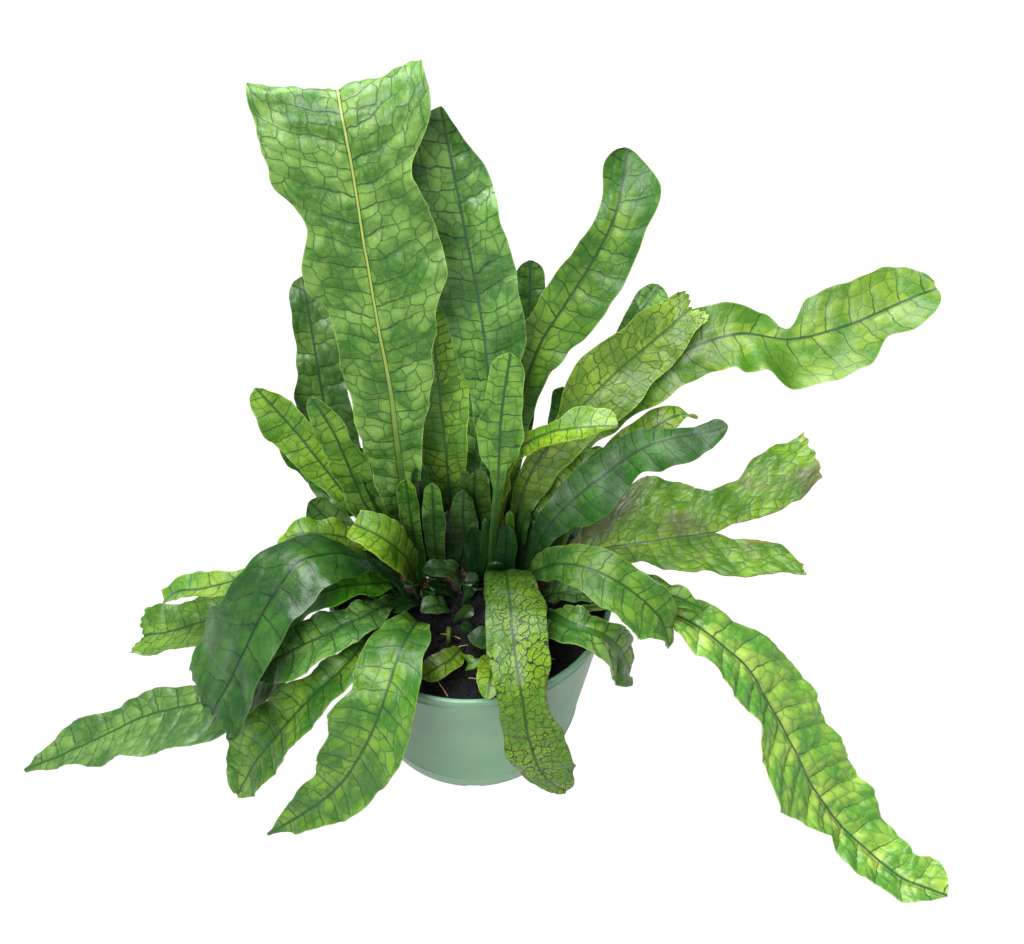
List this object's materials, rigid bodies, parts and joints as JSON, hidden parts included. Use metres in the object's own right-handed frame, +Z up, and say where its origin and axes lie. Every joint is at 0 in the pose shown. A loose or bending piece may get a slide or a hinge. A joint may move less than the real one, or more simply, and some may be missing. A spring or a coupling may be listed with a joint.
{
  "type": "potted crocodile fern",
  "caption": "Crocodile fern with blistered strap fronds fanning from a creeping rhizome, in peat in a plain tapered nursery pot.",
  "frame": {"origin": "centre of the pot's flat underside, on the surface it stands on", "axes": "+Z up along the pot's axis, -Y towards the front of the picture, +X to the right"},
  "size_m": [0.5081, 0.2841, 0.3694],
  "materials": {
    "pot": "satin",
    "peat": "matte",
    "rhizome": "matte",
    "leaf_bright": "satin",
    "leaf_dark": "satin",
    "leaf_mid": "satin",
    "leaf_olive": "satin",
    "leaf_lime": "satin",
    "leaf_glaucous": "satin",
    "leaf_light": "satin",
    "leaf_blue": "satin",
    "leaf_bruised": "satin",
    "leaf_yellow": "satin",
    "leaf_net": "satin",
    "leaf_grey": "satin",
    "leaf_deep": "satin",
    "leaf_olive_green": "satin",
    "leaf_green_dark_edge": "satin",
    "leaf_lime_mid": "satin",
    "leaf_olive_brown": "satin",
    "leaf_net_green": "satin",
    "leaf_olive_net": "satin",
    "leaf_brown": "satin"
  },
  "bodies": {
    "root": {"pot": "pot", "soil": "peat", "rhizome": "rhizome", "tall_front": "leaf_bright", "tall_centre": "leaf_dark", "back_small": "leaf_dark", "tall_right": "leaf_mid", "back_right": "leaf_dark", "olive_broad": "leaf_olive", "lime_fold": "leaf_lime", "mid_bright": "leaf_glaucous", "right_long_top": "leaf_light", "lime_small_right": "leaf_lime", "right_dark": "leaf_blue", "right_forked": "leaf_bruised", "right_arch": "leaf_mid", "right_long_low": "leaf_yellow", "right_tucked": "leaf_mid", "front_right_arch": "leaf_bright", "front_netted": "leaf_net", "baby_left": "leaf_lime", "baby_mid": "leaf_lime", "baby_down": "leaf_lime", "front_left_near": "leaf_mid", "front_left_far": "leaf_mid", "left_lowest": "leaf_grey", "left_dark_big": "leaf_deep", "left_tip_high": "leaf_lime", "left_lime": "leaf_light", "left_cut": "leaf_olive_green", "left_mid_upper": "leaf_green_dark_edge", "left_mid_lower": "leaf_dark", "left_upper_lime": "leaf_lime_mid", "left_upper_mid": "leaf_mid", "left_upper_olive": "leaf_olive_brown", "back_left_tall": "leaf_grey", "front_lime_curl": "leaf_lime", "netted_upright": "leaf_net_green", "small_upright": "leaf_glaucous", "olive_behind": "leaf_olive_net", "dying_brown": "leaf_brown", "stub_broad": "leaf_olive_green", "spear_mid": "leaf_bright", "spear_lime": "leaf_lime", "baby_dark_left": "leaf_dark", "baby_blue": "leaf_grey", "spoon_right": "leaf_glaucous", "spoon_front": "leaf_blue", "spoon_back": "leaf_glaucous", "back_dark_wavy": "leaf_dark", "right_inner_upper": "leaf_lime_mid", "right_inner_brown": "leaf_olive_brown", "right_under_dark": "leaf_dark", "back_low_left": "leaf_dark", "back_low_right": "leaf_dark", "left_grey_low": "leaf_grey", "crown_left_arch": "leaf_dark", "fiddlehead": "leaf_lime"}
  },
  "joints": []
}
